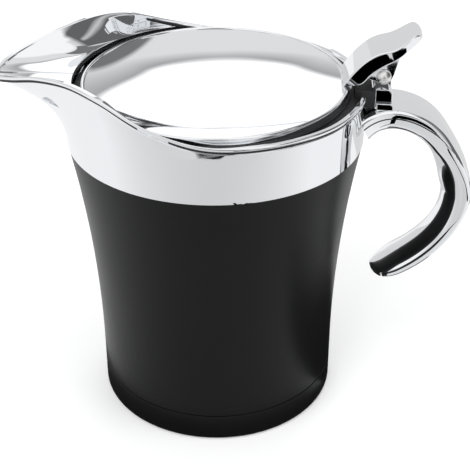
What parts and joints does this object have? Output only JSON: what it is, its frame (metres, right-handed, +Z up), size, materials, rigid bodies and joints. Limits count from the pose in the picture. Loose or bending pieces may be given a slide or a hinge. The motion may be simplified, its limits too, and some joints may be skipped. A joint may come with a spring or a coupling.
{
  "type": "insulated gravy boat",
  "caption": "Insulated gravy boat with a flared double-walled black body, chromed collar with a long spout, open C handle and a dished lid that a thumb lever lifts.",
  "frame": {"origin": "centre of the foot, on the table", "axes": "+Z up, +X towards the handle, the spout points along -X"},
  "size_m": [0.1756, 0.109, 0.1514],
  "materials": {
    "black_coat": "satin",
    "steel": "satin",
    "chrome": "polished",
    "rubber": "matte",
    "plastic": "matte"
  },
  "bodies": {
    "vessel": {"outer_shell": "black_coat", "shell_bottom": "steel", "base_cup": "black_coat", "foot_ring": "rubber", "inner_liner": "steel", "rim_gasket": "rubber", "collar": "chrome", "throat_ring": "plastic", "throat_seal": "rubber", "handle_shell": "chrome", "handle_grip": "chrome", "handle_screws": "steel", "hinge_washers": "plastic"},
    "lid": {"lid_top": "chrome", "lid_liner": "steel", "lid_seal": "rubber", "thumb_lever": "chrome", "lever_studs": "steel", "hinge_pin": "steel", "pin_cap": "steel"}
  },
  "joints": [
    {"name": "lid_hinge", "type": "hinge", "parent": "vessel", "child": "lid", "pos_m": [0.0597, 0, 0.1363], "axis": [0, 1, 0], "range_deg": [0, 80]}
  ]
}
